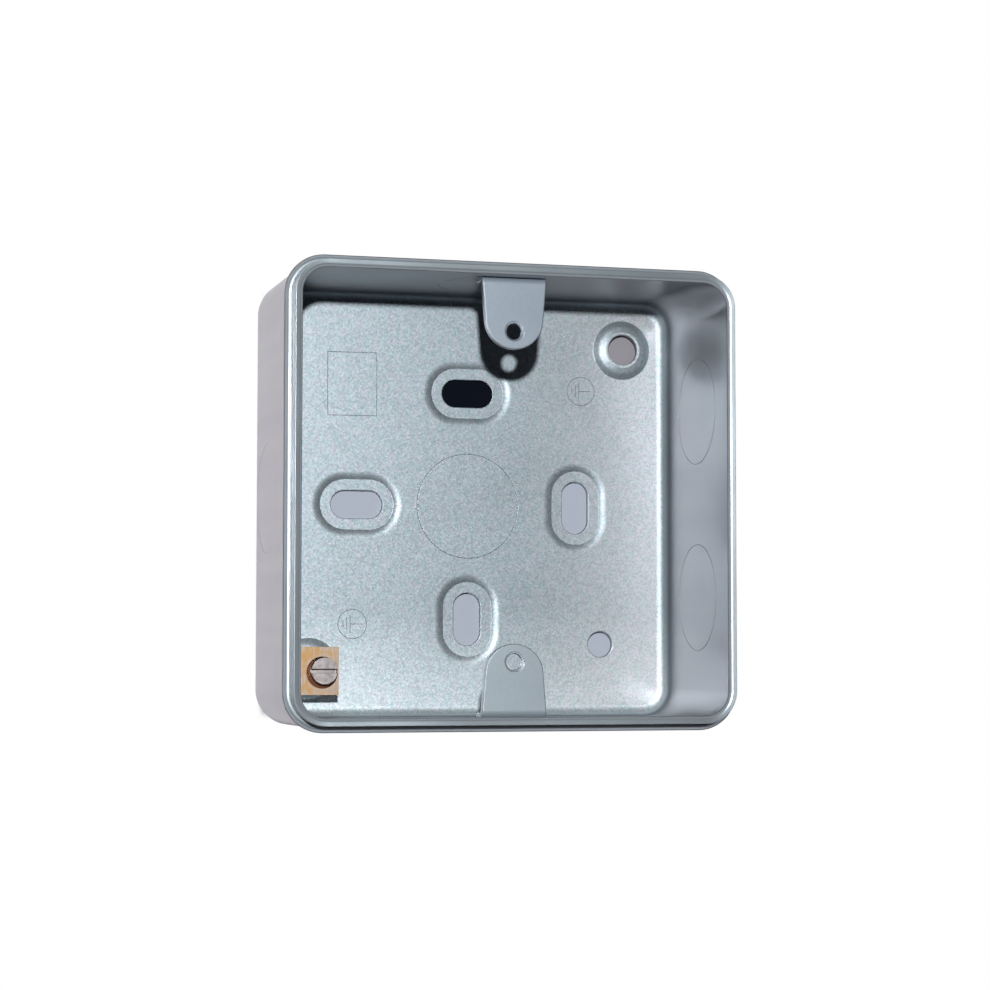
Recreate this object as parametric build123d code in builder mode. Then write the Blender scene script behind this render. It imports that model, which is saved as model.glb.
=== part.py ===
from build123d import *
import os

os.makedirs("parts", exist_ok=True)

# Single-gang surface back box of pressed steel, lying on its back with its open front upwards.
# All sizes are millimetres. Z = 0 is the plane that the box seats on, X and Y run across the back.

# Pressed shell
body_side = 84.0
depth = 38.7
sheet = 1.2
corner_radius = 6.6
back_bend = 4.0

# Stepped rim: a bead that stands proud of the walls, and a lip that the cover plate drops over
bead_proud = 0.7
bead_height = 1.9
bead_chamfer = 0.6
lip_inset = 0.6
lip_thickness = 0.9
lip_height = 3.0
lip_chamfer = 0.25

# Slots for the wall screws, each in a pad that is pressed out of the back
slot_length = 10.2
slot_width = 5.4
slot_reach = 22.0
pad_margin = 2.15
pad_drop = 0.5
pad_slope = 1.1

# Raised bosses in two opposite corners of the back
boss_inset = 10.5
boss_base = 11.7
boss_top = 7.9
boss_rise = 1.1
boss_hole = 6.0

# Plain hole near the third corner
spare_hole = 5.0
spare_inset_x = 15.0
spare_inset_y = 15.2

# Half-sheared knockouts for 20 mm conduit: three walls have them a small gap behind the lugs' legs,
# the fourth has one close in front of the back's bend
knockout = 20.3
knockout_push = 0.15
knockout_gap = 0.6
low_knockout_gap = 0.2
knockout_pair_reach = 17.9
pry_notch = 1.4
pry_depth = 0.6

# Fixing lugs for the cover plate screws
screw_spacing = 60.3
lug_width = 12.4
lug_thickness = 1.5
lug_recess = 4.2
lug_tip = 3.3
lug_leg = 4.2
lug_bend = 0.4
lug_nose = 5.5
lug_hole = 2.9

# Earth terminal: a brass block riveted into one boss, with its clamping screw
block_x = 8.6
block_y = 9.0
block_height = 7.0
block_shift_y = -0.4
block_chamfer = 0.25
rivet_play = 0.1
rivet_head = 7.2
rivet_head_thickness = 0.7
wire_hole = 3.2
wire_hole_height = 2.4
screw_shift_x = 1.6
screw_shift_y = -0.4
screw_thread = 3.9
screw_head = 4.7
screw_head_height = 2.2
screw_head_chamfer = 0.3
screw_play = 0.55
counterbore_depth = 2.1
counterbore_shift_x = -0.4
counterbore_shift_y = -0.2
screw_slot_width = 0.8
screw_slot_depth = 0.9

# Levels and faces that follow from the sizes above
half = body_side / 2
back_z = pad_drop
floor_z = back_z + sheet
shoulder_z = depth - lip_height
inner_half = half - sheet
inner_corner = corner_radius - sheet
inner_bend = back_bend - sheet
lip_half = half - lip_inset
mouth_half = lip_half - lip_thickness
mouth_corner = inner_corner - (inner_half - mouth_half)
joggle_z = shoulder_z - bead_height
joggle_top_z = joggle_z + sheet
boss_z = floor_z + boss_rise
boss_reach = half - boss_inset
spare_x = half - spare_inset_x
spare_y = -half + spare_inset_y
lug_z = depth - lug_recess
knockout_height = lug_z - lug_leg - knockout_gap - knockout / 2
low_knockout_height = back_z + back_bend + low_knockout_gap + knockout / 2
pad_length = slot_length + 2 * pad_margin
pad_width = slot_width + 2 * pad_margin

slot_places = (
    (slot_reach, 0, 90),
    (-slot_reach, 0, 0),
    (0, slot_reach, 0),
    (0, -slot_reach, 90),
)
boss_places = ((boss_reach, boss_reach), (-boss_reach, -boss_reach))

# Knockout planes: the origin is on the outer face and Z points into the box
back_plane = Plane(origin=(0, 0, back_z), x_dir=(1, 0, 0), z_dir=(0, 0, 1))
right_planes = [
    Plane(origin=(half, y, knockout_height), x_dir=(0, 0, 1), z_dir=(-1, 0, 0))
    for y in (knockout_pair_reach, -knockout_pair_reach)
]
left_plane = Plane(origin=(-half, 0, low_knockout_height), x_dir=(0, 0, 1), z_dir=(1, 0, 0))
top_plane = Plane(origin=(0, half, knockout_height), x_dir=(0, 0, 1), z_dir=(0, -1, 0))
bottom_plane = Plane(origin=(0, -half, knockout_height), x_dir=(0, 0, 1), z_dir=(0, 1, 0))
knockout_planes = [back_plane, *right_planes, left_plane, top_plane, bottom_plane]


def rounded_square(half_side, radius):
    """Rounded square, centred, in the sketch that is open."""
    RectangleRounded(2 * half_side, 2 * half_side, radius)


# Space inside the shell, which the lip narrows at the mouth
with BuildPart() as cavity:
    with BuildSketch(Plane.XY.offset(floor_z)):
        rounded_square(inner_half, inner_corner)
    extrude(amount=joggle_z - floor_z)
    fillet(cavity.faces().sort_by(Axis.Z)[0].edges(), radius=inner_bend)
    with BuildSketch(Plane.XY.offset(joggle_z)):
        rounded_square(inner_half, inner_corner)
    with BuildSketch(Plane.XY.offset(joggle_top_z)):
        rounded_square(mouth_half, mouth_corner)
    loft()
    with BuildSketch(Plane.XY.offset(joggle_top_z)):
        rounded_square(mouth_half, mouth_corner)
    extrude(amount=depth + sheet - joggle_top_z)

with BuildPart() as box_shell:
    # Drawn body
    with BuildSketch(Plane.XY.offset(back_z)):
        rounded_square(half, corner_radius)
    extrude(amount=shoulder_z - back_z)
    fillet(box_shell.faces().sort_by(Axis.Z)[0].edges(), radius=back_bend)

    # Bead round the rim, chamfered in front and running out into the wall behind
    with BuildSketch(Plane.XY.offset(joggle_z)):
        rounded_square(half, corner_radius)
    with BuildSketch(Plane.XY.offset(joggle_z + bead_proud)):
        rounded_square(half + bead_proud, corner_radius + bead_proud)
    loft()
    with BuildSketch(Plane.XY.offset(joggle_z + bead_proud)):
        rounded_square(half + bead_proud, corner_radius + bead_proud)
    extrude(amount=shoulder_z - joggle_z - bead_proud)
    chamfer(box_shell.faces().sort_by(Axis.Z)[-1].edges(), length=bead_chamfer)

    # Lip in front of the shoulder
    with BuildSketch(Plane.XY.offset(shoulder_z)):
        rounded_square(lip_half, corner_radius - lip_inset)
    extrude(amount=lip_height)
    add(cavity.part, mode=Mode.SUBTRACT)
    chamfer(box_shell.faces().sort_by(Axis.Z)[-1].edges(), length=lip_chamfer)

    # Pads: the back is pressed outwards round each slot, at an even thickness
    for x, y, turn in slot_places:
        with BuildSketch(Plane.XY.offset(back_z)):
            with Locations((x, y)):
                SlotOverall(pad_length + 2 * pad_slope, pad_width + 2 * pad_slope, rotation=turn)
        with BuildSketch(Plane.XY.offset(back_z - pad_drop)):
            with Locations((x, y)):
                SlotOverall(pad_length, pad_width, rotation=turn)
        loft()
        with BuildSketch(Plane.XY.offset(floor_z)):
            with Locations((x, y)):
                SlotOverall(pad_length + 2 * pad_slope, pad_width + 2 * pad_slope, rotation=turn)
        with BuildSketch(Plane.XY.offset(floor_z - pad_drop)):
            with Locations((x, y)):
                SlotOverall(pad_length, pad_width, rotation=turn)
        loft(mode=Mode.SUBTRACT)
        with BuildSketch():
            with Locations((x, y)):
                SlotOverall(slot_length, slot_width, rotation=turn)
        extrude(amount=floor_z, mode=Mode.SUBTRACT)

    # Bosses: the back is pressed inwards to a flat top with a hole
    for x, y in boss_places:
        with BuildSketch(Plane.XY.offset(floor_z)):
            with Locations((x, y)):
                Circle(boss_base / 2)
        with BuildSketch(Plane.XY.offset(boss_z)):
            with Locations((x, y)):
                Circle(boss_top / 2)
        loft()
        with BuildSketch(Plane.XY.offset(back_z)):
            with Locations((x, y)):
                Circle(boss_base / 2)
        with BuildSketch(Plane.XY.offset(back_z + boss_rise)):
            with Locations((x, y)):
                Circle(boss_top / 2)
        loft(mode=Mode.SUBTRACT)
        with Locations((x, y, boss_z)):
            Hole(boss_hole / 2, depth=boss_z)

    with Locations((spare_x, spare_y, floor_z)):
        Hole(spare_hole / 2, depth=floor_z)

    # Knockouts: each disc is sheared part way through and stands a little into the box
    for plane in knockout_planes:
        with BuildSketch(plane.offset(sheet)):
            Circle(knockout / 2)
        extrude(amount=knockout_push)
        with BuildSketch(plane):
            Circle(knockout / 2)
        extrude(amount=knockout_push, mode=Mode.SUBTRACT)
        with BuildSketch(plane.offset(sheet + knockout_push)):
            with Locations((-knockout / 2, 0)):
                Circle(pry_notch / 2)
        extrude(amount=-pry_depth, mode=Mode.SUBTRACT)

box_shell.part.label = "box_shell"
export_step(box_shell.part, "parts/box_shell.step")


def fixing_lug(side):
    """Angle bracket welded to the wall at +Y (side 1) or -Y (side -1)."""
    root_y = inner_half
    hole_y = screw_spacing / 2
    nose_y = hole_y - lug_tip + lug_nose
    # A section along Y gives the ear, the bend and the leg in one strip
    with BuildPart() as strip:
        with BuildSketch(Plane.YZ.offset(-lug_width / 2)):
            with BuildLine():
                Polyline(
                    (nose_y - lug_nose, lug_z),
                    (root_y, lug_z),
                    (root_y, lug_z - lug_leg),
                    (root_y - lug_thickness, lug_z - lug_leg),
                    (root_y - lug_thickness, lug_z - lug_thickness),
                    (nose_y - lug_nose, lug_z - lug_thickness),
                    close=True,
                )
            make_face()
        extrude(amount=lug_width)
        bend_edges = strip.edges().filter_by(Axis.X)
        outer_bend = bend_edges.sort_by(lambda e: e.center().Y + e.center().Z)[-1]
        fillet(outer_bend, radius=lug_bend + lug_thickness)
        inner_edges = strip.edges().filter_by(Axis.X).filter_by(
            lambda e: abs(e.center().Y - root_y + lug_thickness) < lug_bend / 4
            and abs(e.center().Z - lug_z + lug_thickness) < lug_bend / 4
        )
        fillet(inner_edges, radius=lug_bend)
        # Seen from the front the ear tapers a little to a full round nose
        with BuildSketch(Plane.XY.offset(lug_z - lug_leg)):
            with BuildLine():
                Line((-lug_width / 2, root_y), (lug_width / 2, root_y))
                Line((lug_width / 2, root_y), (lug_nose, nose_y))
                CenterArc((0, nose_y), lug_nose, 0, -180)
                Line((-lug_nose, nose_y), (-lug_width / 2, root_y))
            make_face()
        extrude(amount=lug_leg, mode=Mode.INTERSECT)
        with Locations((0, hole_y, lug_z)):
            Hole(lug_hole / 2, depth=lug_thickness)
    if side > 0:
        return strip.part
    return strip.part.mirror(Plane.XZ)


fixing_lug_top = fixing_lug(1)
fixing_lug_top.label = "fixing_lug_top"
export_step(fixing_lug_top, "parts/fixing_lug_top.step")

fixing_lug_bottom = fixing_lug(-1)
fixing_lug_bottom.label = "fixing_lug_bottom"
export_step(fixing_lug_bottom, "parts/fixing_lug_bottom.step")


# Earth terminal block, with a spigot through the boss that is riveted over behind
boss_x = -boss_reach
boss_y = -boss_reach
block_top_z = boss_z + block_height
screw_x = boss_x + screw_shift_x
screw_y = boss_y + screw_shift_y
counterbore_z = block_top_z - counterbore_depth
wire_z = boss_z + wire_hole_height
rivet_z = back_z + boss_rise

with BuildPart() as earth_terminal_block:
    with BuildSketch(Plane.XY.offset(boss_z)):
        with Locations((boss_x, boss_y + block_shift_y)):
            Rectangle(block_x, block_y)
    extrude(amount=block_height)
    chamfer(earth_terminal_block.faces().sort_by(Axis.Z)[-1].edges(), length=block_chamfer)
    with BuildSketch(Plane.XY.offset(rivet_z - rivet_head_thickness)):
        with Locations((boss_x, boss_y)):
            Circle(boss_hole / 2 - rivet_play)
    extrude(amount=boss_z - rivet_z + rivet_head_thickness)
    with BuildSketch(Plane.XY.offset(rivet_z - rivet_head_thickness)):
        with Locations((boss_x, boss_y)):
            Circle(rivet_head / 2)
    extrude(amount=rivet_head_thickness)
    # Wire hole along Y, and the tapped hole and counterbore of the clamping screw above it
    with BuildSketch(Plane.XZ.offset(-boss_y - block_shift_y - block_y)):
        with Locations((screw_x, wire_z)):
            Circle(wire_hole / 2)
    extrude(amount=2 * block_y, mode=Mode.SUBTRACT)
    with BuildSketch(Plane.XY.offset(wire_z)):
        with Locations((screw_x, screw_y)):
            Circle(screw_thread / 2)
    extrude(amount=block_height, mode=Mode.SUBTRACT)
    with BuildSketch(Plane.XY.offset(counterbore_z)):
        with Locations((screw_x + counterbore_shift_x, screw_y + counterbore_shift_y)):
            Circle(screw_head / 2 + screw_play)
    extrude(amount=block_height, mode=Mode.SUBTRACT)

earth_terminal_block.part.label = "earth_terminal_block"
export_step(earth_terminal_block.part, "parts/earth_terminal_block.step")

# Clamping screw with a slotted cheese head, backed off so that the wire hole is clear
with BuildPart() as earth_terminal_screw:
    with BuildSketch(Plane.XY.offset(wire_z + wire_hole / 2)):
        with Locations((screw_x, screw_y)):
            Circle(screw_thread / 2)
    extrude(amount=counterbore_z - wire_z - wire_hole / 2)
    with BuildSketch(Plane.XY.offset(counterbore_z)):
        with Locations((screw_x, screw_y)):
            Circle(screw_head / 2)
    extrude(amount=screw_head_height)
    chamfer(earth_terminal_screw.faces().sort_by(Axis.Z)[-1].edges(), length=screw_head_chamfer)
    with BuildSketch(Plane.XY.offset(counterbore_z + screw_head_height)):
        with Locations((screw_x, screw_y)):
            Rectangle(2 * screw_head, screw_slot_width)
    extrude(amount=-screw_slot_depth, mode=Mode.SUBTRACT)

earth_terminal_screw.part.label = "earth_terminal_screw"
export_step(earth_terminal_screw.part, "parts/earth_terminal_screw.step")
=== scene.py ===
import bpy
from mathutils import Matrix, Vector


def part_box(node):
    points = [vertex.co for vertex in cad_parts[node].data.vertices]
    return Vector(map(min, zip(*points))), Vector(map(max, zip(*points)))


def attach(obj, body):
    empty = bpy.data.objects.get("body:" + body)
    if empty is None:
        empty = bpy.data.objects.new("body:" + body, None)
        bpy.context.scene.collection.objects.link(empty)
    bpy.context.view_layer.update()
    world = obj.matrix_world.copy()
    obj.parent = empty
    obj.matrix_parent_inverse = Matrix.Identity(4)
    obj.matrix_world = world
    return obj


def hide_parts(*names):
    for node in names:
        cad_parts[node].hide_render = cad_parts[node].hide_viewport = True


bl_info = {
    "name": "Pressed Steel Back Box",
    "version": (1, 0, 0),
    "blender": (4, 5, 0),
    "location": "View3D > Sidebar > Back Box",
    "description": "Builds a single-gang pressed steel back box round its CAD frame, with a stage",
    "category": "Add Mesh",
}

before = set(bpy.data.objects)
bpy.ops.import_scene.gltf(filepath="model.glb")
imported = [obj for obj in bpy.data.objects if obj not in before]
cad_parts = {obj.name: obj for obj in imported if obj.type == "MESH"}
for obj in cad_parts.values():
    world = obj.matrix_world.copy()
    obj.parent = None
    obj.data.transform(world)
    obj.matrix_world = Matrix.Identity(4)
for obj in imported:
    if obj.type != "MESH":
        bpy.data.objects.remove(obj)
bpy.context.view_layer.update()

from math import cos, pi, radians, sin, tan

import bmesh
import bpy
from bpy.props import FloatProperty, FloatVectorProperty, PointerProperty
from bpy.types import Operator, Panel, PropertyGroup
from mathutils import Matrix, Vector

MM = 0.001
SHELL_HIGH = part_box("box_shell")[1]
LUG_LOW, LUG_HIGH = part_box("fixing_lug_top")
BLOCK_LOW, BLOCK_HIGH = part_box("earth_terminal_block")

# Flat strip kept beside every rounded edge, so that smooth shading leaves the flats flat
SHADING_STRIP = 0.05 * MM

# How far cutters reach past what they cut
OVERSHOOT = 1 * MM

# Edge round of a sheared opening or disc, and width of the shading band beside an opening
SHEARED_EDGE = 0.08 * MM
SHEARED_BAND = 0.2 * MM

# Rounded edges of the brass block and its screw
MACHINED_EDGE = 0.13 * MM

# Bands, by height or by distance from the middle, in which the enamel passes from one shade to the next; the
# right, bottom, lug and outer face bands carry painted light and shade
BACK_ENDS = (3.2 * MM, 4.4 * MM)
RIM_BEGINS = (34.9 * MM, 35.3 * MM)
LUG_BEGINS = (32.0 * MM, 32.6 * MM)
LUG_ENDS = (34.6 * MM, 34.8 * MM)
PAINTED_LIGHT_RIGHT_BAND = (10 * MM, 36 * MM)
PAINTED_LIGHT_BOTTOM_BAND = (-20 * MM, -36 * MM)
PAINTED_SHADE_LUG_BAND = (-30 * MM, 30 * MM)
OUTER_FACE = (5.7 * MM, 5.8 * MM)

# Filters over the enamel: two for flakes, then painted light on the back towards the right and towards the
# bottom, and painted shade on the lugs
WARM_FLAKE = (1.04, 0.985, 1.02, 1.0)
COOL_FLAKE = (0.95, 1.01, 0.99, 1.0)
PAINTED_LIGHT_RIGHT = (1.34, 1.24, 1.20, 1.0)
PAINTED_LIGHT_BOTTOM = (1.54, 1.50, 1.46, 1.0)
PAINTED_SHADE_LUG = (0.82, 0.83, 0.88, 1.0)
DRAWING_MARK = (0.25, 0.25, 0.30, 1.0)

# Lens and lamp: places in millimetres, and the lens's turns in radians
LENS_PLACE = (-125.065, -28.394, 466.813)
LENS_TURN = (0.065837, -0.273099, 0.018488)
LAMP_PLACE = (-117, 57.5, 485)

# Floor: its side, how far it lies under the box, where its painted shade under the box gives way to pale, and
# where it turns plain white
FLOOR_SIDE = 3.0
FLOOR_DROP = 0.02 * MM
FLOOR_PALE = (36.0 * MM, 42.0 * MM)
FLOOR_WHITE = (38.0 * MM, 41.0 * MM)


def length(name, default, description):
    """Length property, shown in the scene's units."""
    return FloatProperty(name=name, default=default, description=description, unit="LENGTH", precision=5,
                         min=0.0)


def colour(name, default, description):
    """Linear colour property."""
    return FloatVectorProperty(name=name, default=default, description=description, subtype="COLOR", size=3,
                               min=0.0, max=1.0)


class ShellSizes(PropertyGroup):
    """Sizes of the pressed shell."""
    wall_side: length("Wall Side", 84.0 * MM, "Distance across the outer walls")
    depth: length("Depth", SHELL_HIGH[2], "From the seating plane to the front of the lip")
    sheet: length("Sheet", 1.2 * MM, "Thickness of the steel")
    corner_radius: length("Corner Radius", 6.6 * MM, "Outer radius of the upright corners")
    back_bend: length("Back Bend", 4.0 * MM, "Outer radius between back and walls")
    inner_bend: length("Inner Bend", 2.1 * MM, "Inner radius between back and walls")
    bead_proud: length("Bead Proud", 0.7 * MM, "How far the rim's bead stands out of the walls")
    bead_height: length("Bead Height", 1.9 * MM, "Height of the bead behind the lip")
    lip_inset: length("Lip Inset", 0.6 * MM, "Step from the wall's face in to the lip")
    lip_thickness: length("Lip Thickness", 1.4 * MM, "Thickness of the lip")
    lip_height: length("Lip Height", 3.0 * MM, "Height of the lip in front of the bead")


class BackSizes(PropertyGroup):
    """Sizes of what is pressed and pierced in the back and the walls."""
    slot_length: length("Slot Length", 10.2 * MM, "Overall length of each wall-screw slot")
    slot_width: length("Slot Width", 5.4 * MM, "Width of each wall-screw slot")
    slot_reach: length("Slot Reach", 22.0 * MM, "From the middle of the back to each slot")
    pad_margin: length("Pad Margin", 2.15 * MM, "Flat band of the pad round its slot")
    pad_drop: length("Pad Drop", 0.5 * MM, "How far the pads stand out behind the back")
    pad_slope: length("Pad Slope", 0.85 * MM, "Width of the slope round each pad")
    boss_inset: length("Boss Inset", 10.5 * MM, "From the walls to the middle of each boss")
    boss_base: length("Boss Base", 11.7 * MM, "Diameter of the boss at the back")
    boss_top: length("Boss Top", 7.9 * MM, "Diameter of the flat top of the boss")
    boss_rise: length("Boss Rise", 1.1 * MM, "Height of the boss")
    boss_hole: length("Boss Hole", 6.0 * MM, "Diameter of the hole in the boss")
    spare_hole: length("Spare Hole", 5.0 * MM, "Diameter of the plain hole")
    spare_inset_x: length("Spare Hole Inset X", 15.0 * MM, "From the right wall to the plain hole")
    spare_inset_y: length("Spare Hole Inset Y", 15.2 * MM, "From the bottom wall to the plain hole")
    knockout: length("Knockout", 20.3 * MM, "Diameter of each knockout")
    knockout_push: length("Knockout Push", 0.02 * MM, "How far each disc is sheared into the box")
    knockout_height: length("Knockout Height", 19.55 * MM, "Height of the knockouts in three of the walls")
    low_knockout_height: length("Low Knockout Height", 14.85 * MM, "Height of the left wall's knockout")
    knockout_pair_reach: length("Knockout Pair Reach", 17.9 * MM,
                                "Half the distance between those on the right")
    pry_dimple: length("Pry Dimple", 0.8 * MM, "Diameter of the dimple at each disc's edge")


class LugSizes(PropertyGroup):
    """Sizes of the fixing lugs."""
    screw_spacing: length("Screw Spacing", 60.3 * MM, "Between the two cover-plate screws")
    width: length("Lug Width", 12.4 * MM, "Width at the wall")
    thickness: length("Lug Thickness", 1.5 * MM, "Thickness of the bracket")
    nose: length("Lug Nose", 5.5 * MM, "Radius of the round nose")
    tip: length("Lug Tip", 3.3 * MM, "From the hole's middle to the tip of the nose")
    bend: length("Lug Bend", 0.4 * MM, "Inner radius of the bend")
    thread_minor: length("Thread Crest", 2.9 * MM, "Diameter inside the thread's crests")
    thread_major: length("Thread Root", 3.4 * MM, "Diameter of the hole at the thread's roots")
    thread_pitch: length("Thread Pitch", 0.6 * MM, "Rise of the thread in one turn")


class TerminalSizes(PropertyGroup):
    """Sizes of the earth terminal."""
    block_height: length("Block Height", 7.0 * MM, "Height of the brass block above its boss")
    wire_hole: length("Wire Hole", 3.2 * MM, "Diameter of the wire hole")
    wire_hole_height: length("Wire Hole Height", 2.4 * MM, "Height of the wire hole's axis above the boss")
    screw_thread: length("Screw Thread", 3.9 * MM, "Diameter of the clamping screw's shank")
    screw_head: length("Screw Head", 5.0 * MM, "Diameter of the clamping screw's head")
    screw_play: length("Screw Play", 0.50 * MM, "Gap between the head and its counterbore")
    counterbore_depth: length("Counterbore Depth", 2.1 * MM, "Depth of the counterbore")
    counterbore_shift: FloatVectorProperty(name="Counterbore Shift", default=(-0.48 * MM, -0.30 * MM), size=2,
                                           description="From the screw's axis to the counterbore's",
                                           unit="LENGTH")
    screw_slot_width: length("Screw Slot Width", 0.8 * MM, "Width of the driver slot")
    screw_slot_depth: length("Screw Slot Depth", 1.3 * MM, "Depth of the driver slot")


class FinishColours(PropertyGroup):
    """Colours of the finishes."""
    enamel_deep: colour("Enamel Deep", (0.17, 0.255, 0.295), "Darker grain of the silver-grey enamel")
    enamel_pale: colour("Enamel Pale", (0.68, 0.74, 0.79), "Paler grain of the silver-grey enamel")
    # Inside the walls the enamel is painted in shade, and outside them it is painted in light
    enamel_wall_painted_shade: colour("Enamel Wall", (0.29, 0.29, 0.31), "Smoother enamel inside the drawn walls")
    enamel_outside_painted_light: colour("Enamel Outside", (0.43, 0.42, 0.435), "Smoother enamel outside the drawn walls")
    bare_steel: colour("Bare Steel", (0.75, 0.76, 0.78), "Steel bared by the shears")
    stamped: colour("Stamped Line", (0.19, 0.24, 0.27), "Enamel in the shade of the stamped lines")
    brass: colour("Brass", (0.43, 0.335, 0.26), "Machined brass")
    # More golden patches of the brass, laid towards the left of the block
    brass_gold: colour("Brass Gold", (0.44, 0.275, 0.125), "Cleaner patches of the brass")
    # Painted shade down the block's sides and in its bores
    brass_painted_shade: colour("Tarnish", (0.11, 0.045, 0.022), "Tarnish down the sides and in the bores")
    nickel: colour("Nickel", (0.50, 0.46, 0.46), "Plating of the clamping screw")


class StageSettings(PropertyGroup):
    """Camera and light."""
    focal_length: FloatProperty(name="Focal Length", default=90.14, description="Lens in millimetres",
                                min=1.0)
    key_power: FloatProperty(name="Key Power", default=2.0, description="Power of the lamp above the lens",
                             unit="POWER")
    key_size: length("Key Size", 14.0 * MM, "Diameter of the lamp above the lens")
    horizon_glow: FloatProperty(name="Horizon Glow", default=1.36, description="World light at the horizon",
                                min=0.0)
    zenith_glow: FloatProperty(name="Zenith Glow", default=0.006, description="World light from above",
                               min=0.0)
    white: colour("Background", (1.0, 1.0, 1.0), "Colour behind the object")
    floor_colour: colour("Floor", (0.95, 0.94, 0.97), "Colour of the floor")
    # The floor under the box is painted in shade
    covered_floor_painted_shade: colour("Covered Floor", (0.51, 0.56, 0.655), "Colour of the floor under the box")
    dark_gap: colour("Dark Gap", (0.006, 0.008, 0.014), "Floor seen through the top slot")
    brown_gap: colour("Brown Gap", (0.355, 0.34, 0.375), "Floor seen through the raised boss")


class BackBoxSettings(PropertyGroup):
    """Everything that a user may change."""
    shell: PointerProperty(type=ShellSizes)
    back: PointerProperty(type=BackSizes)
    lug: PointerProperty(type=LugSizes)
    terminal: PointerProperty(type=TerminalSizes)
    colours: PointerProperty(type=FinishColours)
    stage: PointerProperty(type=StageSettings)


# Outlines and rings


def rounded_chain(corners, radii, steps=6):
    """Polyline through the corners, each rounded by its radius, with shading strips beside the rounds."""
    points = [Vector(corners[0])]
    for before, corner, after, radius in zip(corners, corners[1:], corners[2:], radii):
        before, corner, after = Vector(before), Vector(corner), Vector(after)
        way_in = (corner - before).normalized()
        way_out = (after - corner).normalized()
        turn = way_in.angle_signed(way_out)
        reach = radius * tan(abs(turn) / 2)
        start = corner - way_in * reach
        points.append(start - way_in * SHADING_STRIP)
        side = Vector((-way_in.y, way_in.x)) * (1 if way_in.cross(way_out) > 0 else -1)
        centre = start + side * radius
        spoke = start - centre
        sweep = abs(turn) if way_in.cross(way_out) > 0 else -abs(turn)
        for k in range(steps + 1):
            a = sweep * k / steps
            along = spoke.x * cos(a) - spoke.y * sin(a)
            across = spoke.x * sin(a) + spoke.y * cos(a)
            points.append(centre + Vector((along, across)))
        points.append(corner + way_out * (reach + SHADING_STRIP))
    points.append(Vector(corners[-1]))
    return points


def rounded_corners(corners, steps):
    """Polyline through pairs of a corner and its radius."""
    return rounded_chain([p for p, r in corners], [r for p, r in corners[1:-1]], steps)


def arc(centre, radius, angles):
    """Points of a circle at these angles in degrees."""
    return [(centre[0] + radius * cos(radians(a)), centre[1] + radius * sin(radians(a))) for a in angles]


def stadium(radius, straight, steps=24):
    """Closed outline round a straight line of that length along X, at that distance."""
    half_line = straight / 2
    points = []
    for end, first in ((1, -pi / 2), (-1, pi / 2)):
        if straight:
            points.append(Vector((end * (half_line - SHADING_STRIP), end * -radius)))
        for k in range(steps + (1 if straight else 0)):
            a = first + pi * k / steps
            points.append(Vector((end * half_line + radius * cos(a), radius * sin(a))))
        if straight:
            points.append(Vector((end * (half_line - SHADING_STRIP), end * radius)))
    return points


def bridge(bm, rings, closed=True):
    """Quads between rings of as many vertices."""
    for low, high in zip(rings, rings[1:]):
        count = len(low)
        for k in range(count if closed else count - 1):
            n = (k + 1) % count
            bm.faces.new((low[k], low[n], high[n], high[k]))


def pierce(bm, place, section, straight=0.0, steps=24):
    """Rings through the sheet, for a hole and the pressing round it. Returns the first and the last ring."""
    rings = []
    for r, w in section:
        rings.append([bm.verts.new(place @ Vector((p.x, p.y, w))) for p in stadium(r, straight, steps)])
    bridge(bm, rings)
    return rings[0], rings[-1]


def loop_edges(bm, ring):
    """Edges of a closed ring of vertices, made where they are missing."""
    pairs = zip(ring, ring[1:] + ring[:1])
    return [bm.edges.get(pair) or bm.edges.new(pair) for pair in pairs]


def fill_flat(bm, rings, normal):
    """Flat faces between the first ring and the rings inside it."""
    edges = [e for ring in rings for e in loop_edges(bm, ring)]
    bmesh.ops.triangle_fill(bm, use_beauty=True, use_dissolve=False, edges=edges, normal=normal)


def smooth_object(name, bm, material):
    """Object of a closed bmesh, all of it smooth, with its faces turned outwards."""
    bmesh.ops.recalc_face_normals(bm, faces=bm.faces)
    mesh = bpy.data.meshes.new(name)
    bm.to_mesh(mesh)
    bm.free()
    mesh.shade_smooth()
    mesh.materials.append(material)
    obj = bpy.data.objects.new(name, mesh)
    bpy.context.scene.collection.objects.link(obj)
    return obj


def plain_mesh(obj):
    """Turns the object's evaluated shape into its own mesh and takes its modifiers off."""
    graph = bpy.context.evaluated_depsgraph_get()
    mesh = bpy.data.meshes.new_from_object(obj.evaluated_get(graph), preserve_all_data_layers=True,
                                           depsgraph=graph)
    obj.modifiers.clear()
    obj.data = mesh
    return obj


def carve(obj, cutters, operation="DIFFERENCE"):
    """Boolean of the object with each cutter, which is then removed."""
    for cutter in cutters:
        mod = obj.modifiers.new("Carve", "BOOLEAN")
        mod.operation = operation
        mod.solver = "EXACT"
        mod.object = cutter
        plain_mesh(obj)
        bpy.data.objects.remove(cutter)


def round_edges(obj, width, segments=4, limit=32):
    """Rounds every edge that turns more than the limit, with normals that keep the flats flat."""
    mod = obj.modifiers.new("Round", "BEVEL")
    mod.width = width
    mod.segments = segments
    mod.limit_method = "ANGLE"
    mod.angle_limit = radians(limit)
    mod.harden_normals = True
    plain_mesh(obj)


def prism(name, outline, low, high, material, place=Matrix.Identity(4)):
    """Upright prism over an outline, then put in its place."""
    bm = bmesh.new()
    rings = [[bm.verts.new(place @ Vector((p[0], p[1], z))) for p in outline] for z in (low, high)]
    bridge(bm, rings)
    for ring in rings:
        bm.faces.new(ring)
    return smooth_object(name, bm, material)


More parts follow.
